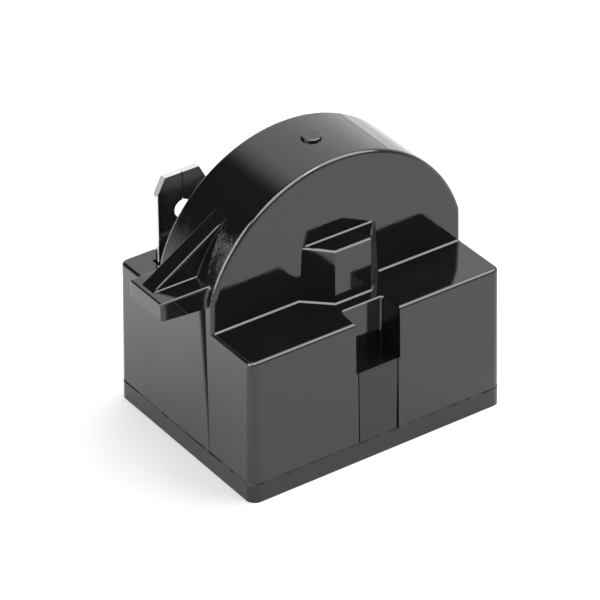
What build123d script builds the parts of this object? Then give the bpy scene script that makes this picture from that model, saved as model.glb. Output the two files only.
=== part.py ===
from build123d import *
import os
from math import cos, radians, sin, tan

# Plug-on starting relay for a refrigerator compressor, one wire tab, two pin sockets.
# X runs along the front, Y goes back, Z goes up. The origin is the middle of the underside.

os.makedirs("parts", exist_ok=True)

# Block, measured at the underside
block_len = 32.0
block_depth = 24.9
deck_z = 16.85
side_draft = 1.1
corner_r = 1.1
deck_edge_r = 0.4
wall = 1.6
deck_t = 1.6

# Base cover
cover_t = 2.2
seam_chamfer = 0.1
spigot_h = 1.0
spigot_t = 0.6
spigot_gap = 0.1

# Dome over the resistor chamber
dome_r = 16.3
dome_z = 15.9
dome_t = 9.8
front_ledge = 7.2
dome_blend_r = 2.0
dome_edge_r = 0.5
foot_r = 0.15
foot_angle = 45
chamber_wall = 1.5

# Chamber wall pads, standing proud of the drafted side faces, placed from the dome's two faces
pad_front_low_in = 0.5
pad_front_high_in = 1.75
pad_back_low_out = 1.45
pad_back_high_in = 1.25
pad_top_z = 19.5
pad_proud = 0.15
pad_edge_r = 0.12

# Wire guide lug and its gusset, on the left of the dome
lug_reach = 5.4
lug_front_in = 1.13
lug_w = 5.78
lug_top_z = 21.9
lug_tip_t = 2.05
lug_root_t = 2.5
lug_edge_r = 0.2
gusset_front_in = 3.4
gusset_t = 2.15
gusset_tip_in = 0.5
gusset_meet_angle = 44.0
gusset_edge_r = 0.2
joint_r = 0.3
joint_root = 0.5

# Locating boss on the dome's front
boss_reach = 2.55
boss_root_w = 10.0
boss_nose_w = 4.5
boss_side_taper = 0.4
boss_top_z = 23.2
boss_bevel = 0.16
boss_joint_w = 0.25

# Notch in the middle of the front
notch_w = 5.6
notch_back_w = 5.1
notch_depth = 2.85
notch_floor_z = 10.8
recess_w = 5.1
recess_high_in = 0.1
recess_low_in = 0.3
recess_ramp_h = 0.8
notch_corner_r = 0.35
notch_bevel = 0.12
bevel_angle = 45
core_w = 5.6

# Ejector mark on the crown
crown_pip_d = 2.2
crown_pip_h = 0.28
crown_pip_bevel = 0.08
crown_pip_right = 0.19
crown_pip_back = 0.16

# Resistor disc
disc_d = 20.0
disc_t = 2.6
disc_gap = 0.15
disc_bevel = 0.2
rib_t = 1.6
rib_angle = 45

# Contact springs
spring_t = 0.3
spring_w = 10.0
spring_slot_w = 1.4
spring_low_z = 3.6
bow_low_z = 8.6
bow_pitch = 7.3
spring_end = 1.4
touch_gap = 0.02

# Socket terminals
pin_d = 2.3
pin_spacing = 14.0
socket_in = 4.25
sleeve_t = 0.4
sleeve_h = 7.4
sleeve_slit = 0.4
sleeve_flare = 0.2
strip_t = 0.5
strip_z = 3.4
start_strip_h = 3.8
run_strip_h = 1.8
strip_clear = 0.12
tongue_side_in = 2.0
stop_t = 1.2
stop_gap = 0.1
joint_lap = 0.1

# Clamping hoops round the sleeves
hoop_t = 0.35
hoop_h = 3.6
hoop_z = 4.4
hoop_mouth = 1.6

# Rivets
rivet_d = 1.2
rivet_head_d = 2.2
rivet_head_h = 0.35

# Wire tab
tab_w = 6.3
tab_t = 0.8
tab_side_in = 3.3
tab_back_in = 2.55
tab_top_z = 26.9
tab_chamfer_x = 1.05
tab_chamfer_z = 2.0
tab_hole_d = 2.1
tab_hole_drop = 4.35
tab_fold_r = 0.3
tab_seam_w = 0.1
tab_seam_depth = 0.25
slot_clear = 0.2

# Pin holes in the cover
pin_hole_d = 3.0
funnel_d = 4.6
funnel_h = 0.9

# How far joined forms and cuts run past the faces they meet, and how near an edge is picked
run_past = 1.0
pick_tol = 0.01

# Sizes that follow from the ones above
seam_z = cover_t
recess_ramp_z = seam_z + seam_chamfer + recess_ramp_h
draft_run = tan(radians(side_draft))
dome_front = front_ledge - block_depth / 2
dome_back = dome_front + dome_t
boss_top_root_w = boss_root_w - 2 * boss_side_taper
lug_front = dome_front + lug_front_in
gusset_front = dome_front + gusset_front_in
gusset_meet_x = -dome_r * sin(radians(gusset_meet_angle))
gusset_meet_z = dome_z + dome_r * cos(radians(gusset_meet_angle))
socket_y = socket_in - block_depth / 2
tab_left = tab_side_in - block_len / 2
tab_front = block_depth / 2 - tab_back_in - tab_t
chamber_front = dome_front + chamber_wall
chamber_back = dome_back - chamber_wall
chamber_mid = (chamber_front + chamber_back) / 2
chamber_r = dome_r - chamber_wall
disc_front = chamber_mid - disc_t / 2
disc_back = chamber_mid + disc_t / 2
rib_tip_x = disc_d / 2 * cos(radians(rib_angle))
rib_tip_z = disc_d / 2 * sin(radians(rib_angle))
sleeve_r = pin_d / 2 + sleeve_t
socket_x = pin_spacing / 2
tab_mid = tab_left + tab_w / 2
high_z = dome_z + dome_r + run_past
dome_low_z = dome_z - run_past
sleeve_top_z = cover_t + sleeve_h
start_rivet_z = strip_z + start_strip_h / 2
run_rivet_z = strip_z + run_strip_h / 2
start_plate_y = chamber_front - strip_t / 2
run_plate_y = chamber_back + strip_t / 2
strip_front = socket_y + sleeve_r


def half_len(z):
    """Half of the block's length at height z."""
    return block_len / 2 - draft_run * z


def half_depth(z):
    """Half of the block's depth at height z."""
    return block_depth / 2 - draft_run * z


# Base cover, with spigots that drop into the housing's chambers
side_in = half_len(deck_z) - wall
front_in = half_depth(deck_z) - wall
notch_side = notch_w / 2 + chamber_wall
pocket_w = side_in - notch_side
pocket_mid_x = (side_in + notch_side) / 2
pocket_front = -front_in
pocket_back = dome_front - (wall - chamber_wall)
pocket_depth = pocket_back - pocket_front
pocket_mid_y = (pocket_front + pocket_back) / 2
rear_front = dome_back + (wall - chamber_wall)
rear_depth = front_in - rear_front
rear_mid_y = (front_in + rear_front) / 2
core_front = recess_low_in - front_in
rib_end_x = side_in + run_past

with BuildPart() as base_cover:
    with BuildSketch():
        RectangleRounded(block_len, block_depth, corner_r)
    extrude(amount=cover_t, taper=side_draft)
    chamfer(base_cover.faces().sort_by(Axis.Z)[-1].edges(), seam_chamfer)
    with BuildSketch(Plane.XY.offset(cover_t)):
        with Locations((-pocket_mid_x, pocket_mid_y), (pocket_mid_x, pocket_mid_y)):
            Rectangle(pocket_w - 2 * spigot_gap, pocket_depth - 2 * spigot_gap)
            Rectangle(
                pocket_w - 2 * spigot_gap - 2 * spigot_t,
                pocket_depth - 2 * spigot_gap - 2 * spigot_t,
                mode=Mode.SUBTRACT,
            )
        with Locations((0, rear_mid_y)):
            Rectangle(2 * side_in - 2 * spigot_gap, rear_depth - 2 * spigot_gap)
            Rectangle(
                2 * side_in - 2 * spigot_gap - 2 * spigot_t,
                rear_depth - 2 * spigot_gap - 2 * spigot_t,
                mode=Mode.SUBTRACT,
            )
    extrude(amount=spigot_h)
    with BuildSketch():
        with Locations((-socket_x, socket_y), (socket_x, socket_y)):
            Circle(pin_hole_d / 2)
    extrude(amount=cover_t, mode=Mode.SUBTRACT)
    with Locations((-socket_x, socket_y, funnel_h / 2), (socket_x, socket_y, funnel_h / 2)):
        Cone(funnel_d / 2, pin_hole_d / 2, funnel_h, mode=Mode.SUBTRACT)
base_cover.part.label = "base_cover"
export_step(base_cover.part, "parts/base_cover.step")

# Housing: one moulding of block, dome, pads, lug, gusset, boss and crown pip
with BuildPart() as dome_form:
    with BuildSketch(Plane.XZ.offset(-dome_front)) as dome_face:
        with BuildLine():
            Polyline(
                (-half_len(dome_low_z), dome_low_z),
                (half_len(dome_low_z), dome_low_z),
                (half_len(high_z), high_z),
                (-half_len(high_z), high_z),
                close=True,
            )
        make_face()
        with Locations((0, dome_z)):
            Circle(dome_r, mode=Mode.INTERSECT)
        fillet(dome_face.vertices().group_by(Axis.Y)[-1], dome_blend_r)
    extrude(amount=dome_front - dome_back)
    face_edges = dome_form.edges().filter_by(Plane.XZ)
    fillet(face_edges.filter_by(lambda e: e.center().Z > dome_low_z + pick_tol), dome_edge_r)

with BuildPart() as lug_form:
    wall_x = half_len(lug_top_z)
    with BuildSketch(Plane.XZ.offset(-lug_front)):
        with BuildLine():
            Polyline(
                (-wall_x - lug_reach, lug_top_z - lug_tip_t),
                (-wall_x - lug_reach, lug_top_z),
                (gusset_meet_x, lug_top_z),
                (gusset_meet_x, lug_top_z - lug_root_t),
                (-wall_x, lug_top_z - lug_root_t),
                close=True,
            )
        make_face()
    extrude(amount=-lug_w)
    outer_edges = lug_form.edges().filter_by(lambda e: e.center().X < -wall_x + pick_tol)
    top_edges = outer_edges.filter_by(lambda e: e.center().Z > lug_top_z - pick_tol)
    fillet(top_edges + outer_edges.filter_by(Axis.Z).group_by(Axis.X)[0], lug_edge_r)

with BuildPart() as gusset_form:
    with BuildSketch(Plane.XZ.offset(-gusset_front)):
        with BuildLine():
            Polyline(
                (-wall_x - lug_reach + gusset_tip_in, lug_top_z),
                (gusset_meet_x, gusset_meet_z),
                (gusset_meet_x, lug_top_z - run_past),
                (-wall_x, lug_top_z - run_past),
                close=True,
            )
        make_face()
    extrude(amount=-gusset_t)
    slopes = gusset_form.faces().filter_by(lambda f: f.normal_at().X * f.normal_at().Z < -pick_tol)
    fillet(slopes.edges().filter_by(Plane.XZ), gusset_edge_r)

with BuildPart() as gusset_joint:
    with Locations(Plane((0, gusset_front - joint_r / 2, dome_z), z_dir=(0, -1, 0))):
        Cone(dome_r + joint_r + joint_root, dome_r - joint_root, joint_r + 2 * joint_root)
    with BuildSketch(Plane.YZ.offset(gusset_meet_x)):
        with BuildLine():
            Polyline(
                (gusset_front - joint_r - joint_root, lug_top_z - joint_root),
                (gusset_front + joint_root, lug_top_z + joint_r + joint_root),
                (gusset_front + joint_root, lug_top_z - joint_root),
                close=True,
            )
        make_face()
    extrude(amount=-(wall_x + lug_reach + gusset_meet_x))
    with BuildSketch(Plane.XZ.offset(-(gusset_front + joint_root))):
        with BuildLine():
            Polyline(
                (-wall_x - lug_reach + gusset_tip_in, lug_top_z),
                (gusset_meet_x, gusset_meet_z),
                (gusset_meet_x, lug_top_z - joint_root),
                (-wall_x - lug_reach + gusset_tip_in, lug_top_z - joint_root),
                close=True,
            )
        make_face()
    extrude(amount=joint_r + 2 * joint_root, mode=Mode.INTERSECT)

with BuildPart() as pad_form:
    with BuildSketch(Plane.YZ):
        with BuildLine():
            Polyline(
                (dome_front + pad_front_low_in, seam_z),
                (dome_back + pad_back_low_out, seam_z),
                (dome_back - pad_back_high_in, pad_top_z),
                (dome_front + pad_front_high_in, pad_top_z),
                close=True,
            )
        make_face()
    extrude(amount=block_len / 2, both=True)
    with BuildSketch(Plane.XZ):
        pad_high_x = half_len(pad_top_z) + pad_proud
        with BuildLine():
            Polyline(
                (-block_len / 2, seam_z),
                (block_len / 2, seam_z),
                (pad_high_x, pad_top_z),
                (-pad_high_x, pad_top_z),
                close=True,
            )
        make_face()
    extrude(amount=block_depth, both=True, mode=Mode.INTERSECT)
    for outer_face in (pad_form.faces().sort_by(Axis.X)[0], pad_form.faces().sort_by(Axis.X)[-1]):
        fillet(outer_face.edges().filter_by(Axis.Y, reverse=True), pad_edge_r)
    chamfer(pad_form.faces().sort_by(Axis.Z)[0].edges().filter_by(Axis.Y), seam_chamfer)

with BuildPart() as pip_form:
    with Locations((crown_pip_right, (dome_front + dome_back) / 2 + crown_pip_back, dome_z + dome_r)):
        Cylinder(crown_pip_d / 2, 2 * crown_pip_h)
    chamfer(pip_form.faces().sort_by(Axis.Z)[-1].edges(), crown_pip_bevel)

with BuildPart() as boss_form:
    with BuildSketch(Plane.XY.offset(deck_z - run_past)):
        with BuildLine():
            Polyline(
                (-boss_root_w / 2, dome_front + run_past),
                (-boss_root_w / 2, dome_front),
                (-boss_nose_w / 2, dome_front - boss_reach),
                (boss_nose_w / 2, dome_front - boss_reach),
                (boss_root_w / 2, dome_front),
                (boss_root_w / 2, dome_front + run_past),
                close=True,
            )
        make_face()
    with BuildSketch(Plane.XY.offset(boss_top_z)):
        with BuildLine():
            Polyline(
                (-boss_top_root_w / 2, dome_front + run_past),
                (-boss_top_root_w / 2, dome_front),
                (-boss_nose_w / 2, dome_front - boss_reach),
                (boss_nose_w / 2, dome_front - boss_reach),
                (boss_top_root_w / 2, dome_front),
                (boss_top_root_w / 2, dome_front + run_past),
                close=True,
            )
        make_face()
    loft(ruled=True)
    top_edges = boss_form.faces().sort_by(Axis.Z)[-1].edges()
    chamfer(top_edges.sort_by(Axis.Y)[:-1], boss_bevel)

with BuildPart() as housing:
    with BuildSketch(Plane.XY.offset(seam_z)):
        RectangleRounded(2 * half_len(seam_z), 2 * half_depth(seam_z), corner_r)
    extrude(amount=deck_z - seam_z, taper=side_draft)
    fillet(housing.faces().sort_by(Axis.Z)[-1].edges(), deck_edge_r)
    chamfer(housing.faces().sort_by(Axis.Z)[0].edges(), seam_chamfer)
    # Notch: a deep pocket from the deck, and a shallow recess under it
    with BuildSketch(Plane.XY.offset(notch_floor_z)) as notch_face:
        with BuildLine():
            Polyline(
                (-notch_w / 2, -block_depth / 2),
                (notch_w / 2, -block_depth / 2),
                (notch_back_w / 2, -half_depth(deck_z) + notch_depth),
                (-notch_back_w / 2, -half_depth(deck_z) + notch_depth),
                close=True,
            )
        make_face()
        fillet(notch_face.vertices().group_by(Axis.Y)[-1], notch_corner_r)
    extrude(amount=deck_z, mode=Mode.SUBTRACT)
    with BuildSketch(Plane.XY.offset(deck_z)):
        add(notch_face.sketch_local)
        offset(amount=notch_bevel)
    extrude(amount=-notch_bevel, taper=bevel_angle, mode=Mode.SUBTRACT)
    with BuildSketch(Plane.YZ):
        with BuildLine():
            Polyline(
                (-block_depth, notch_floor_z),
                (recess_high_in - half_depth(notch_floor_z), notch_floor_z),
                (recess_low_in - half_depth(recess_ramp_z), recess_ramp_z),
                (-half_depth(seam_z), seam_z + seam_chamfer),
                (-block_depth, seam_z + seam_chamfer),
                close=True,
            )
        make_face()
    extrude(amount=recess_w / 2, both=True, mode=Mode.SUBTRACT)
    add(dome_form.part)
    # Small skirt round the foot of the dome and the boss
    with BuildSketch(Plane.XY.offset(deck_z)):
        with Locations((0, (dome_front + dome_back) / 2)):
            Rectangle(2 * half_len(deck_z) - 4 * foot_r, dome_back - dome_front)
        with BuildLine():
            Polyline(
                (-boss_root_w / 2, dome_front),
                (-boss_nose_w / 2, dome_front - boss_reach),
                (boss_nose_w / 2, dome_front - boss_reach),
                (boss_root_w / 2, dome_front),
                close=True,
            )
        make_face()
        offset(amount=foot_r, kind=Kind.INTERSECTION)
    extrude(amount=foot_r, taper=foot_angle)
    add(pad_form.part)
    add(lug_form.part)
    add(gusset_form.part)
    add(gusset_joint.part)
    add(boss_form.part)
    with BuildSketch(Plane.YZ):
        with BuildLine():
            Polyline(
                (dome_front - boss_joint_w, boss_top_z),
                (dome_front, boss_top_z + boss_joint_w),
                (dome_front, boss_top_z),
                close=True,
            )
        make_face()
    extrude(amount=boss_top_root_w / 2 - boss_bevel - boss_joint_w, both=True)
    add(pip_form.part)
    # Round the inner corner where the lug meets the dome
    on_lug = housing.edges().filter_by(lambda e: abs(e.center().Y - lug_front) < pick_tol)
    fillet(on_lug.filter_by(lambda e: e.center().X > -block_len / 2), joint_r)
    # Resistor chamber, round above and straight below, with cradle ribs round the disc
    with BuildSketch(Plane.XZ.offset(-chamber_front)):
        with Locations((0, dome_z)):
            Circle(chamber_r)
            Rectangle(2 * side_in, 2 * chamber_r, mode=Mode.INTERSECT)
        with Locations((0, (seam_z + dome_z) / 2)):
            Rectangle(2 * side_in, dome_z - seam_z)
        with Locations((0, dome_z)):
            with GridLocations(rib_end_x + rib_tip_x, 2 * rib_tip_z, 2, 2):
                Rectangle(rib_end_x - rib_tip_x, rib_t, mode=Mode.SUBTRACT)
            Circle(disc_d / 2 + disc_gap)
    extrude(amount=chamber_front - chamber_back, mode=Mode.SUBTRACT)
    # Two socket pockets in front, a terminal chamber behind, a core under the notch
    with BuildSketch(Plane.XY.offset(seam_z)):
        with Locations((-pocket_mid_x, pocket_mid_y), (pocket_mid_x, pocket_mid_y)):
            Rectangle(pocket_w, pocket_depth)
        with Locations((0, rear_mid_y)):
            Rectangle(2 * side_in, rear_depth)
    extrude(amount=deck_z - deck_t - seam_z, mode=Mode.SUBTRACT)
    with BuildSketch(Plane.XY.offset(seam_z)):
        with Locations((0, (core_front + pocket_back) / 2)):
            Rectangle(core_w, pocket_back - core_front)
    extrude(amount=notch_floor_z - wall - seam_z, mode=Mode.SUBTRACT)
    # Stops that hold the sockets down on the cover
    with BuildSketch(Plane.XY.offset(sleeve_top_z + stop_gap)):
        with Locations((-socket_x, pocket_mid_y), (socket_x, pocket_mid_y)):
            Rectangle(stop_t, pocket_depth)
    extrude(amount=deck_z - deck_t - sleeve_top_z - stop_gap)
    # Ways for the two strips, open to the underside
    with BuildSketch(Plane.XY.offset(seam_z)):
        with BuildLine():
            Polyline(
                (socket_x, pocket_back - run_past),
                (socket_x, start_plate_y),
                (-tongue_side_in - strip_clear, start_plate_y),
            )
        trace(line_width=strip_t + 2 * strip_clear)
    extrude(amount=strip_z + start_strip_h + strip_clear - seam_z, mode=Mode.SUBTRACT)
    with BuildSketch(Plane.XY.offset(seam_z)):
        with Locations((-socket_x, (pocket_back + rear_front) / 2)):
            Rectangle(strip_t + 2 * strip_clear, rear_front - pocket_back + run_past)
        with Locations(((tongue_side_in - socket_x) / 2, chamber_back + strip_t / 2)):
            Rectangle(socket_x + tongue_side_in + strip_t + 2 * strip_clear, strip_t)
    extrude(amount=strip_z + run_strip_h + strip_clear - seam_z, mode=Mode.SUBTRACT)
    # Slot for the wire tab in the rear deck
    with BuildSketch(Plane.XY.offset(deck_z - deck_t - run_past)):
        with Locations((tab_mid, tab_front + tab_t / 2)):
            Rectangle(tab_w + 2 * slot_clear, tab_t + 2 * slot_clear)
    extrude(amount=deck_t + 2 * run_past, mode=Mode.SUBTRACT)
housing.part.label = "housing"
export_step(housing.part, "parts/housing.step")

# Resistor disc, standing on edge in the cradle
with BuildPart() as ptc_disc:
    with BuildSketch(Plane.XZ.offset(-disc_front)):
        with Locations((0, dome_z)):
            Circle(disc_d / 2)
    extrude(amount=-disc_t)
    chamfer(ptc_disc.edges(), disc_bevel)
ptc_disc.part.label = "ptc_disc"
export_step(ptc_disc.part, "parts/ptc_disc.step")


def spring_outline(wall_y, side):
    """Closed section of a contact spring against the wall at wall_y, bowing to the disc on that side."""
    disc_y = disc_front if side > 0 else disc_back
    outlines = []
    for shift in (0, side * spring_t):
        flat = wall_y + shift
        crest = disc_y - side * (touch_gap + spring_t) + shift
        tops = [bow_low_z + n * bow_pitch for n in range(3)]
        outlines.append((flat, crest, tops))
    edges = []
    for flat, crest, tops in outlines:
        edges.append(Line((flat, spring_low_z), (flat, tops[0])))
        edges.append(ThreePointArc((flat, tops[0]), (crest, (tops[0] + tops[1]) / 2), (flat, tops[1])))
        edges.append(ThreePointArc((flat, tops[1]), (crest, (tops[1] + tops[2]) / 2), (flat, tops[2])))
        edges.append(Line((flat, tops[2]), (flat, tops[2] + spring_end)))
    for z in (spring_low_z, outlines[0][2][2] + spring_end):
        edges.append(Line((outlines[0][0], z), (outlines[1][0], z)))
    return edges


# Front contact spring, wired to the start socket
with BuildPart() as start_spring:
    with BuildSketch(Plane.YZ):
        with BuildLine():
            spring_outline(chamber_front, 1)
        make_face()
    extrude(amount=spring_w / 2, both=True)
    with BuildSketch(Plane.XZ):
        with Locations((0, bow_low_z + bow_pitch)):
            SlotOverall(2 * bow_pitch, spring_slot_w, rotation=90)
        with Locations((0, start_rivet_z)):
            Circle(rivet_d / 2)
    extrude(amount=block_depth / 2, both=True, mode=Mode.SUBTRACT)
start_spring.part.label = "start_spring"
export_step(start_spring.part, "parts/start_spring.step")

# Rear contact spring, wired to the run socket and the wire tab
with BuildPart() as run_spring:
    with BuildSketch(Plane.YZ):
        with BuildLine():
            spring_outline(chamber_back, -1)
        make_face()
    extrude(amount=spring_w / 2, both=True)
    with BuildSketch(Plane.XZ):
        with Locations((0, bow_low_z + bow_pitch)):
            SlotOverall(2 * bow_pitch, spring_slot_w, rotation=90)
        with Locations((0, run_rivet_z)):
            Circle(rivet_d / 2)
    extrude(amount=block_depth / 2, both=True, mode=Mode.SUBTRACT)
run_spring.part.label = "run_spring"
export_step(run_spring.part, "parts/run_spring.step")

# Start terminal: rolled socket, and a strip bent along the chamber's front wall
with BuildPart() as start_terminal:
    with BuildSketch(Plane.XY.offset(cover_t)):
        with Locations((socket_x, socket_y)):
            Circle(sleeve_r)
            Circle(pin_d / 2, mode=Mode.SUBTRACT)
        with Locations((socket_x, socket_y - pin_d / 2)):
            Rectangle(sleeve_slit, pin_d, mode=Mode.SUBTRACT)
    extrude(amount=sleeve_h)
    with BuildSketch(Plane.XY.offset(strip_z)):
        with BuildLine():
            Polyline(
                (socket_x, socket_y + sleeve_r - sleeve_t / 2),
                (socket_x, start_plate_y),
                (-tongue_side_in, start_plate_y),
            )
        trace(line_width=strip_t)
    extrude(amount=start_strip_h)
    with Locations(Plane((0, start_plate_y, start_rivet_z), z_dir=(0, 1, 0))):
        Cylinder(rivet_d / 2, 2 * strip_t, mode=Mode.SUBTRACT)
    with Locations((socket_x, socket_y, cover_t + sleeve_flare / 2)):
        Cone(pin_d / 2 + sleeve_flare, pin_d / 2, sleeve_flare, mode=Mode.SUBTRACT)
start_terminal.part.label = "start_terminal"
export_step(start_terminal.part, "parts/start_terminal.step")

# Run terminal: rolled socket, strip under the disc, and the folded wire tab
with BuildPart() as run_terminal:
    with BuildSketch(Plane.XY.offset(cover_t)):
        with Locations((-socket_x, socket_y)):
            Circle(sleeve_r)
            Circle(pin_d / 2, mode=Mode.SUBTRACT)
        with Locations((-socket_x, socket_y - pin_d / 2)):
            Rectangle(sleeve_slit, pin_d, mode=Mode.SUBTRACT)
    extrude(amount=sleeve_h)
    with BuildSketch(Plane.XZ.offset(-tab_front)) as tab_face:
        with BuildLine():
            Polyline(
                (tab_left, strip_z),
                (tab_left, tab_top_z - tab_chamfer_z),
                (tab_left + tab_chamfer_x, tab_top_z),
                (tab_left + tab_w - tab_chamfer_x, tab_top_z),
                (tab_left + tab_w, tab_top_z - tab_chamfer_z),
                (tab_left + tab_w, strip_z),
                close=True,
            )
        make_face()
        with Locations((tab_mid, tab_top_z - tab_hole_drop)):
            Circle(tab_hole_d / 2, mode=Mode.SUBTRACT)
    extrude(amount=-tab_t)
    fold_edges = run_terminal.edges().filter_by(Axis.Z)
    fillet(fold_edges.filter_by_position(Axis.Y, tab_front - pick_tol, high_z), tab_fold_r)
    with BuildSketch(Plane.XZ.offset(-tab_front)):
        with Locations((tab_mid, tab_top_z - tab_hole_drop / 2)):
            Rectangle(tab_seam_w, tab_hole_drop)
        with Locations((tab_mid, (deck_z + tab_top_z - tab_hole_drop) / 2)):
            Rectangle(tab_seam_w, tab_top_z - tab_hole_drop - deck_z)
    extrude(amount=-tab_seam_depth, mode=Mode.SUBTRACT)
    with BuildSketch(Plane.XY.offset(strip_z)):
        with Locations((-socket_x, (strip_front + tab_front) / 2)):
            Rectangle(strip_t, tab_front - strip_front + 2 * joint_lap)
        with Locations(((tongue_side_in - socket_x - strip_t / 2) / 2, run_plate_y)):
            Rectangle(socket_x + strip_t / 2 + tongue_side_in, strip_t)
        with Locations(((tab_mid - socket_x + strip_t / 2) / 2, tab_front + tab_t / 2)):
            Rectangle(abs(tab_mid + socket_x) + strip_t / 2, tab_t)
    extrude(amount=run_strip_h)
    with Locations(Plane((0, run_plate_y, run_rivet_z), z_dir=(0, 1, 0))):
        Cylinder(rivet_d / 2, 2 * strip_t, mode=Mode.SUBTRACT)
    with Locations((-socket_x, socket_y, cover_t + sleeve_flare / 2)):
        Cone(pin_d / 2 + sleeve_flare, pin_d / 2, sleeve_flare, mode=Mode.SUBTRACT)
run_terminal.part.label = "run_terminal"
export_step(run_terminal.part, "parts/run_terminal.step")

# Steel hoops that keep the rolled sockets tight on the pins
with BuildPart() as start_hoop:
    with BuildSketch(Plane.XY.offset(hoop_z)):
        with Locations((socket_x, socket_y)):
            Circle(sleeve_r + touch_gap + hoop_t)
            Circle(sleeve_r + touch_gap, mode=Mode.SUBTRACT)
        with Locations((socket_x, socket_y + sleeve_r)):
            Rectangle(hoop_mouth, 2 * sleeve_r, mode=Mode.SUBTRACT)
    extrude(amount=hoop_h)
start_hoop.part.label = "start_hoop"
export_step(start_hoop.part, "parts/start_hoop.step")

with BuildPart() as run_hoop:
    with BuildSketch(Plane.XY.offset(hoop_z)):
        with Locations((-socket_x, socket_y)):
            Circle(sleeve_r + touch_gap + hoop_t)
            Circle(sleeve_r + touch_gap, mode=Mode.SUBTRACT)
        with Locations((-socket_x, socket_y + sleeve_r)):
            Rectangle(hoop_mouth, 2 * sleeve_r, mode=Mode.SUBTRACT)
    extrude(amount=hoop_h)
run_hoop.part.label = "run_hoop"
export_step(run_hoop.part, "parts/run_hoop.step")

# Rivets that join each spring to its terminal
with BuildPart() as start_rivet:
    with BuildSketch(Plane.XZ.offset(-chamber_front + strip_t)):
        with Locations((0, start_rivet_z)):
            Circle(rivet_d / 2)
    extrude(amount=-(strip_t + spring_t))
    with BuildSketch(Plane.XZ.offset(-chamber_front - spring_t)):
        with Locations((0, start_rivet_z)):
            Circle(rivet_head_d / 2)
    extrude(amount=-rivet_head_h)
start_rivet.part.label = "start_rivet"
export_step(start_rivet.part, "parts/start_rivet.step")

with BuildPart() as run_rivet:
    with BuildSketch(Plane.XZ.offset(-chamber_back - strip_t)):
        with Locations((0, run_rivet_z)):
            Circle(rivet_d / 2)
    extrude(amount=strip_t + spring_t)
    with BuildSketch(Plane.XZ.offset(-chamber_back + spring_t)):
        with Locations((0, run_rivet_z)):
            Circle(rivet_head_d / 2)
    extrude(amount=rivet_head_h)
run_rivet.part.label = "run_rivet"
export_step(run_rivet.part, "parts/run_rivet.step")
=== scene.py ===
import math

import bmesh
import bpy
from mathutils import Matrix, Vector


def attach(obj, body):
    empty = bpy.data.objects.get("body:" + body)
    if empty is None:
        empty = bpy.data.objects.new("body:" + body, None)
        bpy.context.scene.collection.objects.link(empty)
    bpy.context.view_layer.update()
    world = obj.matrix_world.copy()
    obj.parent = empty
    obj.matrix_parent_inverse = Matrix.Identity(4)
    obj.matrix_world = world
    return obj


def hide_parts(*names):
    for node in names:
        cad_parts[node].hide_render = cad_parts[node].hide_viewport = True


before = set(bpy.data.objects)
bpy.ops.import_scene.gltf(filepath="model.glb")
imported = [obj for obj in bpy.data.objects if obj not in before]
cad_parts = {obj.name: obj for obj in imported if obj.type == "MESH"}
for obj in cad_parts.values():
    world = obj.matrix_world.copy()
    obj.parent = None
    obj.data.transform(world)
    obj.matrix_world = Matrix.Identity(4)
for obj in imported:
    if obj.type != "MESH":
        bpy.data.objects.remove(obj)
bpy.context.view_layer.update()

MM = 0.001
WHITE = (1, 1, 1, 1)
SEAM_Z = 2.2 * MM
DOME_R = 16.3 * MM
DOME_Z = 15.9 * MM
scene = bpy.context.scene
scene.view_settings.view_transform = "Standard"


# Camera, at the photograph's viewing angle

CAMERA_PLACE = Vector((-0.200507, -0.287527, 0.239435))
CAMERA_TURN = 34.725
CAMERA_DROP = 32.928
CAMERA_ROLL = -0.465
CAMERA_LENS = 240
CAMERA_SENSOR = 36
CAMERA_NEAR = 0.01


def make_camera():
    """A long lens that looks at the object as the photograph does."""
    turn, drop, roll = (math.radians(a) for a in (CAMERA_TURN, CAMERA_DROP, CAMERA_ROLL))
    ahead = Vector(
        (math.sin(turn) * math.cos(drop), math.cos(turn) * math.cos(drop), -math.sin(drop))
    )
    right = Vector((math.cos(turn), -math.sin(turn), 0))
    up = right.cross(ahead)
    rolled_right = math.cos(roll) * right + math.sin(roll) * up
    rolled_up = math.cos(roll) * up - math.sin(roll) * right
    data = bpy.data.cameras.new("camera")
    data.lens = CAMERA_LENS
    data.sensor_width = CAMERA_SENSOR
    data.clip_start = CAMERA_NEAR
    camera = bpy.data.objects.new("camera", data)
    scene.collection.objects.link(camera)
    axes = Matrix((rolled_right, rolled_up, -ahead)).transposed()
    camera.matrix_world = Matrix.Translation(CAMERA_PLACE) @ axes.to_4x4()
    scene.camera = camera


# Node helpers


def new_material(name):
    """A node material: its tree, its Principled shader and the object's coordinates."""
    material = bpy.data.materials.new(name)
    material.use_nodes = True
    tree = material.node_tree
    place = node(tree, "ShaderNodeTexCoord").outputs["Object"]
    return material, tree, tree.nodes["Principled BSDF"], place


def node(tree, kind, inputs=None, **settings):
    """Adds a node, sets its attributes, and sets or links its inputs."""
    made = tree.nodes.new(kind)
    for key, value in settings.items():
        setattr(made, key, value)
    for key, value in (inputs or {}).items():
        if isinstance(value, bpy.types.NodeSocket):
            tree.links.new(value, made.inputs[key])
        else:
            made.inputs[key].default_value = value
    return made


def noise(tree, coordinate, scale, detail=3.0, roughness=0.5):
    """Noise from 0 to 1 over a coordinate. The scale counts its waves in a metre."""
    inputs = {"Vector": coordinate, "Scale": scale, "Detail": detail, "Roughness": roughness}
    return node(tree, "ShaderNodeTexNoise", inputs).outputs["Fac"]


def ramp(tree, value, low, high, out_low, out_high):
    """Maps a value smoothly from one range to another."""
    inputs = {
        "Value": value,
        "From Min": low,
        "From Max": high,
        "To Min": out_low,
        "To Max": out_high,
    }
    made = node(tree, "ShaderNodeMapRange", inputs, interpolation_type="SMOOTHSTEP")
    return made.outputs["Result"]


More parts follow.
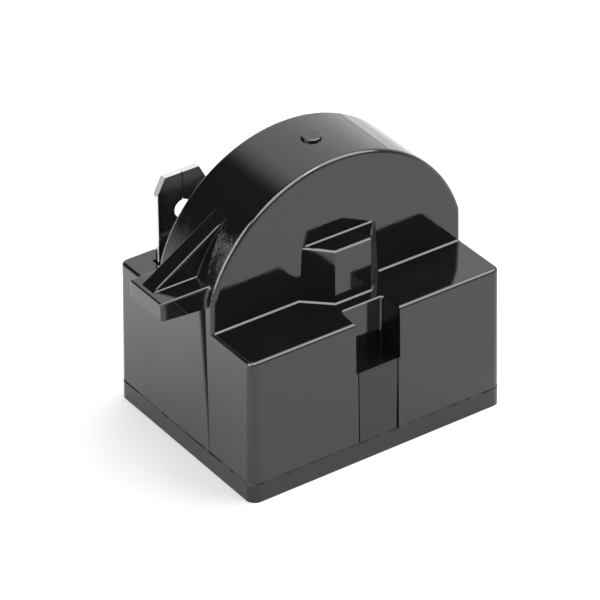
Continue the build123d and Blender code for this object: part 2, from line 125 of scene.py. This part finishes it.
def math_node(tree, operation, *values):
    """One arithmetic step."""
    made = node(tree, "ShaderNodeMath", dict(enumerate(values)), operation=operation)
    return made.outputs[0]


def product(tree, *values):
    """The product of several values."""
    result = values[0]
    for value in values[1:]:
        result = math_node(tree, "MULTIPLY", result, value)
    return result


def dot(tree, first, second):
    """The dot product of two vectors."""
    made = node(tree, "ShaderNodeVectorMath", {0: first, 1: second}, operation="DOT_PRODUCT")
    return made.outputs["Value"]


def mix_value(tree, factor, first, second):
    """Mixes two values by a factor."""
    return node(tree, "ShaderNodeMix", {0: factor, 2: first, 3: second}).outputs[0]


def mix_colour(tree, factor, first, second):
    """Mixes two colours by a factor."""
    made = node(tree, "ShaderNodeMix", {0: factor, 6: first, 7: second}, data_type="RGBA")
    return made.outputs[2]


def bump(tree, shader, *layers):
    """Feeds the shader's normal from layers of (height, strength, distance)."""
    normal = None
    for height, strength, distance in layers:
        inputs = {"Height": height, "Strength": strength, "Distance": distance}
        if normal is not None:
            inputs["Normal"] = normal
        normal = node(tree, "ShaderNodeBump", inputs).outputs["Normal"]
    tree.links.new(normal, shader.inputs["Normal"])


# Materials

CLOUD_EDGE = (0.3, 0.7)
FINE_DEPTH = 0.00003

TINT_SCALE = 140
HAZE_SCALE = 420
HAZE_EDGE = (0.35, 0.75)
HAZE_ROUGHNESS = (0.05, 0.11)
RUBBED_SCALE = 900
RUBBED_EDGE = (0.42, 0.6)
RUBBED_ROUGHNESS = (0.5, 0.9)
SINK_WAVES = {"scale": 90, "depth": 0.0006}
GRAIN = {"scale": 3800, "depth": 0.00006}
SPECKLE = {"scale": 8800, "depth": 0.000055}

SEAM_REACH = (0.1 * MM, 0.16 * MM)
SEAM_SHINE = 0.5
SEAM_SHINE_LOSS = 0.45
DASH_SCALE = 330
DASH_EDGE = (0.5, 0.56)
LEFT_FACE_X = (-15.7 * MM, -15.2 * MM)
OTHER_FACES = 0.3

SPECKLE_X = (-12.6 * MM, -10.2 * MM)
SPECKLE_LOW_Z = (19.5 * MM, 21.5 * MM)
SPECKLE_HIGH_Z = (25.5 * MM, 29.5 * MM)
SPECKLE_OFF_DOME = (0.03 * MM, 0.06 * MM)
SPECKLE_BEHIND_Y = (0, 0.3 * MM)
SPECKLE_BEHIND = 0.4
PATCH_SCALE = 500
PATCH_EDGE = (0.3, 0.6)
PATCH_LEAST = 0.45
GUSSET_LEAN = -0.28
GUSSET_FOOT_Y = 9.46 * MM
GUSSET_EDGE = (-0.15 * MM, 0.1 * MM)


def speckled_skin(tree, place):
    """How strong the speckled skin is: on the dome's left end, and not on the lug and gusset."""
    split = node(tree, "ShaderNodeSeparateXYZ", {"Vector": place})
    across, along, height = (split.outputs[axis] for axis in "XYZ")
    rise = math_node(tree, "SUBTRACT", height, DOME_Z)
    from_axis = node(tree, "ShaderNodeCombineXYZ", {"X": across, "Y": rise}).outputs[0]
    from_axis = node(tree, "ShaderNodeVectorMath", {0: from_axis}, operation="LENGTH")
    off_dome = math_node(tree, "SUBTRACT", from_axis.outputs["Value"], DOME_R)
    off_dome = math_node(tree, "ABSOLUTE", off_dome)
    behind = ramp(tree, along, *SPECKLE_BEHIND_Y, 0.0, SPECKLE_BEHIND)
    slant = math_node(tree, "MULTIPLY_ADD", height, GUSSET_LEAN, GUSSET_FOOT_Y)
    in_front = ramp(tree, math_node(tree, "ADD", along, slant), *GUSSET_EDGE, 1.0, 0.0)
    return product(
        tree,
        ramp(tree, noise(tree, place, PATCH_SCALE, 2), *PATCH_EDGE, PATCH_LEAST, 1.0),
        ramp(tree, across, *SPECKLE_X, 1.0, 0.0),
        ramp(tree, height, *SPECKLE_LOW_Z, 0.0, 1.0),
        ramp(tree, height, *SPECKLE_HIGH_Z, 1.0, 0.0),
        ramp(tree, off_dome, *SPECKLE_OFF_DOME, 1.0, 0.0),
        math_node(tree, "MAXIMUM", behind, in_front),
    )


def black_plastic(name, tint, waviness, ior, grain_strength):
    """Glossy black moulding compound: sink waves, fine grain, haze and a rubbed, dashed seam."""
    material, tree, shader, place = new_material(name)
    dark = (tint * 0.7, tint * 0.7, tint * 0.72, 1)
    light = (tint * 1.3, tint * 1.3, tint * 1.28, 1)
    colour = mix_colour(tree, noise(tree, place, TINT_SCALE, 4), dark, light)
    tree.links.new(colour, shader.inputs["Base Color"])
    shader.inputs["IOR"].default_value = ior

    split = node(tree, "ShaderNodeSeparateXYZ", {"Vector": place})
    off_seam = math_node(tree, "SUBTRACT", split.outputs["Z"], SEAM_Z)
    near_seam = ramp(tree, math_node(tree, "ABSOLUTE", off_seam), *SEAM_REACH, 1.0, 0.0)
    haze = ramp(tree, noise(tree, place, HAZE_SCALE, 5, 0.6), *HAZE_EDGE, *HAZE_ROUGHNESS)
    rubbed = noise(tree, place, RUBBED_SCALE, 3, 0.7)
    rubbed = ramp(tree, rubbed, *RUBBED_EDGE, *RUBBED_ROUGHNESS)
    tree.links.new(mix_value(tree, near_seam, haze, rubbed), shader.inputs["Roughness"])

    dashes = ramp(tree, noise(tree, place, DASH_SCALE, 2, 0.7), *DASH_EDGE, 0.0, 1.0)
    left_face = ramp(tree, split.outputs["X"], *LEFT_FACE_X, 1.0, OTHER_FACES)
    dull = product(tree, dashes, near_seam, left_face)
    shine = math_node(tree, "MULTIPLY_ADD", dull, -SEAM_SHINE_LOSS, SEAM_SHINE)
    tree.links.new(shine, shader.inputs["Specular IOR Level"])

    rough_skin = math_node(tree, "MAXIMUM", speckled_skin(tree, place), near_seam)
    bump(
        tree,
        shader,
        (noise(tree, place, SINK_WAVES["scale"], 1), waviness, SINK_WAVES["depth"]),
        (noise(tree, place, GRAIN["scale"], 2), grain_strength, GRAIN["depth"]),
        (noise(tree, place, SPECKLE["scale"], 0), rough_skin, SPECKLE["depth"]),
    )
    return material


def tinned_metal(name):
    """Tinned brass strip: bright, lightly drawn along its length, with dull clouds."""
    material, tree, shader, place = new_material(name)
    stretch = {"Vector": place, "Scale": (1, 1, 0.06)}
    lines = noise(tree, node(tree, "ShaderNodeMapping", stretch).outputs["Vector"], 5200, 3)
    cloud = noise(tree, place, 500, 4)
    colour = mix_colour(tree, cloud, (0.52, 0.52, 0.52, 1), (0.74, 0.74, 0.735, 1))
    tree.links.new(colour, shader.inputs["Base Color"])
    shader.inputs["Metallic"].default_value = 1.0
    tree.links.new(ramp(tree, cloud, *CLOUD_EDGE, 0.08, 0.16), shader.inputs["Roughness"])
    bump(tree, shader, (lines, 0.12, FINE_DEPTH))
    return material


def plain_metal(name, dark, light, low, high):
    """Spring steel or brass, with a fine grain and a soft variation of its gloss."""
    material, tree, shader, place = new_material(name)
    cloud = noise(tree, place, 700, 4)
    tree.links.new(mix_colour(tree, cloud, dark, light), shader.inputs["Base Color"])
    shader.inputs["Metallic"].default_value = 1.0
    tree.links.new(ramp(tree, cloud, *CLOUD_EDGE, low, high), shader.inputs["Roughness"])
    bump(tree, shader, (noise(tree, place, 4000, 2), 0.08, FINE_DEPTH))
    return material


def ceramic(name):
    """Dark fired ceramic with a sandy grain."""
    material, tree, shader, place = new_material(name)
    grain = noise(tree, place, 2600, 5, 0.7)
    colour = mix_colour(tree, grain, (0.05, 0.048, 0.045, 1), (0.11, 0.105, 0.1, 1))
    tree.links.new(colour, shader.inputs["Base Color"])
    tree.links.new(ramp(tree, grain, *CLOUD_EDGE, 0.55, 0.75), shader.inputs["Roughness"])
    bump(tree, shader, (grain, 0.3, 0.00005))
    return material


def deep_shade():
    """Painted shade for a slit too deep for light: a matt near-black with a faint, noisy tone."""
    material, tree, shader, place = new_material("slit_painted_shade")
    shade_noise = noise(tree, place, 3000, 3)
    colour = mix_colour(tree, shade_noise, (0.002, 0.002, 0.002, 1), (0.007, 0.007, 0.007, 1))
    tree.links.new(colour, shader.inputs["Base Color"])
    shader.inputs["Roughness"].default_value = 0.95
    shader.inputs["Specular IOR Level"].default_value = 0.0
    bump(tree, shader, (shade_noise, 0.2, FINE_DEPTH))
    return material


def dress_nodes():
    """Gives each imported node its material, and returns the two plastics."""
    housing_black = black_plastic("housing_black", 0.007, 0.10, 1.6, 0.05)
    cover_black = black_plastic("cover_black", 0.008, 0.16, 1.52, 0.16)
    finishes = {
        "housing": (housing_black, "housing_plastic"),
        "base_cover": (cover_black, "cover_plastic"),
        "ptc_disc": (ceramic("fired_ceramic"), "resistor_ceramic"),
    }
    steel = plain_metal("spring_steel", (0.36, 0.36, 0.37, 1), (0.55, 0.55, 0.56, 1), 0.25, 0.4)
    brass = plain_metal("rivet_brass", (0.55, 0.4, 0.16, 1), (0.75, 0.58, 0.28, 1), 0.22, 0.38)
    tinned = tinned_metal("tinned_strip")
    for name in ("start_spring", "run_spring", "start_hoop", "run_hoop"):
        finishes[name] = (steel, "spring_steel")
    for name in ("start_rivet", "run_rivet"):
        finishes[name] = (brass, "rivet_brass")
    for name in ("start_terminal", "run_terminal"):
        finishes[name] = (tinned, "tinned_terminal")
    for name, (material, slot) in finishes.items():
        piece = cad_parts[name]
        piece.data.materials.clear()
        piece.data.materials.append(material)
    return housing_black, cover_black


def add_piece(name, mesh, material):
    """An object with this mesh and this one material."""
    piece = bpy.data.objects.new(name, mesh)
    scene.collection.objects.link(piece)
    mesh.materials.clear()
    mesh.materials.append(material)
    return piece


# Housing with finer inner corners and pads that stand out more. Measures in millimetres.

NEAR = 0.01

GUSSET_Y = -1.85
LUG_TOP_Z = 21.9
MEET = (-11.323, 27.625)
SLOPE = (0.848, 0.530)
CORNER_W = 0.3
CORNER_SLACK = 0.012
FINER = 0.3
ROUNDING = 0.2
ROUNDING_SLACK = 0.015
CONE_END_X = -11
STRIP_END_X = -15

BOSS_HALF = 4.3
BOSS_TOP_Z = 23.2
DOME_FRONT_Y = -5.25
BOSS_CORNER_W = 0.25

BLOCK_HALF = 16
DRAFT = 0.0192
PAD_TOP_Z = 19.6
PAD_SPAN = (-3.6, 6.2)
PAD_PROUD = 0.15
PAD_LEAST = 0.005
PAD_GAIN = 1.7


def finer_corner(x, y, z):
    """Where a point of the bevelled corner round the gusset goes when the bevel narrows."""
    radius = math.hypot(x, z - DOME_Z / MM)
    ahead = GUSSET_Y - y
    off_dome, off_lug = radius - DOME_R / MM, z - LUG_TOP_Z
    on_cone = abs(off_dome + ahead - CORNER_W) < CORNER_SLACK and x < CONE_END_X
    on_strip = abs(off_lug + ahead - CORNER_W) < CORNER_SLACK and x < STRIP_END_X
    within = -ROUNDING - NEAR <= ahead <= CORNER_W + NEAR and off_lug >= -NEAR
    if not (on_cone or on_strip) or not within:
        return x, y, z
    from_slope = (z - MEET[1]) * SLOPE[0] - (x - MEET[0]) * SLOPE[1]
    if from_slope > -ROUNDING - ROUNDING_SLACK:
        lift = off_dome if on_cone else off_lug
        share = (1 - FINER) * (1 - max(-ahead, 0) / ROUNDING)
        gain = SLOPE[1]
        if on_cone:
            gain = (x * SLOPE[0] + (z - DOME_Z / MM) * SLOPE[1]) / radius
        along = -share * lift / gain
        kept = ahead * FINER if ahead > 0 else ahead
        return x + along * SLOPE[0], GUSSET_Y - kept, z + along * SLOPE[1]
    if on_strip:
        z = LUG_TOP_Z + off_lug * FINER
    if on_cone and off_dome > 0:
        wanted = DOME_R / MM + off_dome * FINER
        rise = z - DOME_Z / MM
        if on_strip:
            x = -math.sqrt(wanted**2 - rise**2)
        else:
            x = x * wanted / radius
            z = DOME_Z / MM + rise * wanted / radius
    return x, GUSSET_Y - ahead * FINER, z


def finer_point(x, y, z):
    """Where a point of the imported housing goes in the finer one."""
    proud = abs(x) - (BLOCK_HALF - z * DRAFT)
    in_pad = z < PAD_TOP_Z and PAD_SPAN[0] < y < PAD_SPAN[1]
    if in_pad and PAD_LEAST < proud < PAD_PROUD + NEAR:
        height_share = (z - SEAM_Z / MM) / (PAD_TOP_Z - SEAM_Z / MM)
        return x + math.copysign(proud * PAD_GAIN * height_share, x), y, z
    ahead, above = DOME_FRONT_Y - y, z - BOSS_TOP_Z
    if abs(x) < BOSS_HALF and abs(ahead) < NEAR and abs(above - BOSS_CORNER_W) < NEAR:
        return x, y, BOSS_TOP_Z + BOSS_CORNER_W / 2
    if abs(x) < BOSS_HALF and abs(above) < NEAR and abs(ahead - BOSS_CORNER_W) < NEAR:
        return x, DOME_FRONT_Y - BOSS_CORNER_W / 2, z
    return finer_corner(x, y, z)


def fine_housing(material):
    """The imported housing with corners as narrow, and pads as proud, as the photograph shows."""
    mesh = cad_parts["housing"].data.copy()
    for vertex in mesh.vertices:
        old = tuple(value / MM for value in vertex.co)
        new = finer_point(*old)
        if new != old:
            vertex.co = Vector(new) * MM
    piece = add_piece("housing_fine", mesh, material)
    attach(piece, "root")
    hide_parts("housing")


# The cover's tongue in the front recess, and painted shade in the slits beside it. Measures in
# millimetres.

TONGUE_PROFILE = (
    (-12.412, 2.11),
    (-12.255, 10.45),
    (-12.163, 10.79),
    (-12.150, 10.79),
    (-12.100, 3.11),
    (-12.395, 2.36),
    (-12.395, 2.32),
    (-12.322, 2.205),
)
TONGUE_LEFT_X = -2.42
TONGUE_RIGHT_LOW_X = 2.24
TONGUE_RIGHT_HIGH_X = 2.42
SLIT_FOOT = (-12.412, 2.33)
SLIT_LOW = (-12.117, 3.12)
SLIT_HIGH = (-12.155, 10.78)
SLIT_UNDER = 0.01
SLIT_THICK = 0.01
RECESS_SIDE_X = 2.545


def finish_shape(name, shape):
    """Turns a finished bmesh into a mesh whose faces look outwards."""
    bmesh.ops.recalc_face_normals(shape, faces=shape.faces)
    mesh = bpy.data.meshes.new(name)
    shape.to_mesh(mesh)
    shape.free()
    return mesh


def skin_rings(shape, rings, closed_ends):
    """Joins rings of points with faces and closes the two ends."""
    for low, high in zip(rings, rings[1:]):
        for i in range(len(low)):
            j = (i + 1) % len(low)
            shape.faces.new((low[i], low[j], high[j], high[i]))
    for end in closed_ends:
        shape.faces.new(end)


def cover_tongue(material):
    """The cover's snap tongue: a thin wedge in the front recess, with a slit on each side."""
    low_z, high_z = TONGUE_PROFILE[0][1], TONGUE_PROFILE[2][1]
    shape = bmesh.new()
    left, right = [], []
    for y, z in TONGUE_PROFILE:
        left.append(shape.verts.new(Vector((TONGUE_LEFT_X, y, z)) * MM))
    for y, z in TONGUE_PROFILE:
        share = (z - low_z) / (high_z - low_z)
        x = TONGUE_RIGHT_LOW_X + share * (TONGUE_RIGHT_HIGH_X - TONGUE_RIGHT_LOW_X)
        right.append(shape.verts.new(Vector((x, y, z)) * MM))
    skin_rings(shape, (left, right), (left, reversed(right)))
    piece = add_piece("cover_tongue", finish_shape("cover_tongue", shape), material)
    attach(piece, "root")


def slit_shade_sheets():
    """Black sheets of painted shade at the bottoms of the two slits beside the tongue, just over
    the recess they lie in.
    """
    left_inner = TONGUE_LEFT_X + SLIT_UNDER
    right_low, right_high = TONGUE_RIGHT_LOW_X - SLIT_UNDER, TONGUE_RIGHT_HIGH_X - SLIT_UNDER
    shape = bmesh.new()
    for outer, low_inner, high_inner in (
        (-RECESS_SIDE_X, left_inner, left_inner),
        (RECESS_SIDE_X, right_low, right_high),
    ):
        rings = []
        for (y, z), inner in (
            (SLIT_FOOT, low_inner),
            (SLIT_LOW, low_inner),
            (SLIT_HIGH, high_inner),
        ):
            corners = ((outer, y), (inner, y), (inner, y + SLIT_THICK), (outer, y + SLIT_THICK))
            rings.append([shape.verts.new(Vector((*corner, z)) * MM) for corner in corners])
        skin_rings(shape, rings, (rings[0], rings[-1]))
    # The sheets are painted shade: they stand for slits too deep for light.
    piece = add_piece("painted_slit_shade", finish_shape("painted_slit_shade", shape), deep_shade())
    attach(piece, "root")


# Floor, world and lamps

TABLE_SIZE = 6
TABLE_DROP = 0.02 * MM
TABLE_WHITE = 0.86
TABLE_GLOW = 0.46
# Painted light: a pool of extra glow on the table towards the back left.
POOL_GLOW = 0.54
POOL_WAY = (-0.57, 0.82, 0)
POOL_START = (22 * MM, 50 * MM)
POOL_END = (70 * MM, 130 * MM)

WALL_AZIMUTH = 45
WALL_EDGE = (0.5, 0.85)
WALL_LEVEL = 1.35
BACK_LEFT_LEVEL = 0.06
FRONT_EDGE = (-0.3, 0.1)
FRONT_LEVEL = 0.45
HORIZON_EDGE = (0.02, 0.25)
HORIZON_LEVEL = 0.9

AIM = Vector((0, 0, 0.012))
LAMP_FAR = {"glossy": 0.6, "diffuse": 0.72}
# Name, azimuth, elevation and half angle in degrees, radiance, and the kind of ray that sees it
SOFTBOXES = (
    ("right_softbox", 120, 55, 25, 2.6, "diffuse"),
    ("left_softbox", 245, 35, 31, 0.6, "diffuse"),
    ("right_gleam", 120, 55, 25, 5.5, "glossy"),
    ("top_gleam", 205, 66, 27, 6.0, "glossy"),
    ("left_gleam", 272, 27, 25, 7.2, "glossy"),
)


def compass(azimuth, elevation=0.0):
    """The direction at an azimuth from +Y towards +X and an elevation, both in degrees."""
    a, e = math.radians(azimuth), math.radians(elevation)
    return Vector((math.sin(a) * math.cos(e), math.cos(a) * math.cos(e), math.sin(e)))


def make_floor():
    """A wide white table that keeps the object's shadow, with a painted pool of light that makes
    it brighter at the back left.
    """
    bpy.ops.mesh.primitive_plane_add(size=TABLE_SIZE, location=(0, 0, -TABLE_DROP))
    floor = bpy.context.object
    floor.name = "floor"
    material, tree, shader, place = new_material("white_table")
    shader.inputs["Base Color"].default_value = (TABLE_WHITE, TABLE_WHITE, TABLE_WHITE, 1)
    shader.inputs["Roughness"].default_value = 0.9
    shader.inputs["Specular IOR Level"].default_value = 0.0
    ray = node(tree, "ShaderNodeLightPath").outputs
    seen = math_node(tree, "MAXIMUM", ray["Is Camera Ray"], ray["Is Glossy Ray"])
    seen = math_node(tree, "MAXIMUM", seen, ray["Is Transmission Ray"])
    # Painted light: the glow rises in a pool towards the back left, for the left face to mirror.
    toward_pool = dot(tree, place, POOL_WAY)
    painted_pool = product(
        tree,
        ramp(tree, toward_pool, *POOL_START, 0.0, POOL_GLOW),
        ramp(tree, toward_pool, *POOL_END, 1.0, 0.0),
    )
    glow = math_node(tree, "MULTIPLY", seen, math_node(tree, "ADD", TABLE_GLOW, painted_pool))
    shader.inputs["Emission Color"].default_value = WHITE
    tree.links.new(glow, shader.inputs["Emission Strength"])
    floor.data.materials.append(material)


def make_world():
    """Studio: bright wall at the back right, dim front, dark back left, pale horizon."""
    world = bpy.data.worlds.new("studio")
    world.use_nodes = True
    scene.world = world
    tree = world.node_tree
    background = tree.nodes["Background"]
    way = node(tree, "ShaderNodeTexCoord").outputs["Generated"]
    split = node(tree, "ShaderNodeSeparateXYZ", {"Vector": way}).outputs
    flat = node(tree, "ShaderNodeCombineXYZ", {"X": split["X"], "Y": split["Y"]}).outputs[0]
    level = node(tree, "ShaderNodeVectorMath", {0: flat}, operation="NORMALIZE").outputs[0]
    toward_wall = dot(tree, level, compass(WALL_AZIMUTH))
    wall = ramp(tree, toward_wall, *WALL_EDGE, BACK_LEFT_LEVEL, WALL_LEVEL)
    front = ramp(tree, split["Y"], *FRONT_EDGE, FRONT_LEVEL, 0.0)
    horizon = ramp(tree, split["Z"], *HORIZON_EDGE, HORIZON_LEVEL, 0.0)
    lit = math_node(tree, "MAXIMUM", math_node(tree, "MAXIMUM", wall, front), horizon)
    ray = node(tree, "ShaderNodeLightPath").outputs
    background.inputs["Color"].default_value = WHITE
    strength = mix_value(tree, ray["Is Camera Ray"], lit, 1.0)
    tree.links.new(strength, background.inputs["Strength"])


def make_softbox(name, azimuth, elevation, spread, radiance, seen_by):
    """A round softbox of half angle spread as seen from the object, lit for one kind of ray."""
    way = compass(azimuth, elevation)
    radius = LAMP_FAR[seen_by] * math.tan(math.radians(spread))
    data = bpy.data.lights.new(name, "AREA")
    data.shape = "DISK"
    data.size = 2 * radius
    data.energy = radiance * math.pi * math.pi * radius**2
    lamp = bpy.data.objects.new(name, data)
    scene.collection.objects.link(lamp)
    lamp.location = AIM + way * LAMP_FAR[seen_by]
    lamp.rotation_mode = "QUATERNION"
    lamp.rotation_quaternion = way.to_track_quat("Z", "Y")
    lamp.visible_diffuse = seen_by == "diffuse"
    lamp.visible_glossy = seen_by == "glossy"
    lamp.visible_camera = False


make_camera()
housing_black, cover_black = dress_nodes()
fine_housing(housing_black)
cover_tongue(cover_black)
slit_shade_sheets()
make_floor()
make_world()
for softbox in SOFTBOXES:
    make_softbox(*softbox)
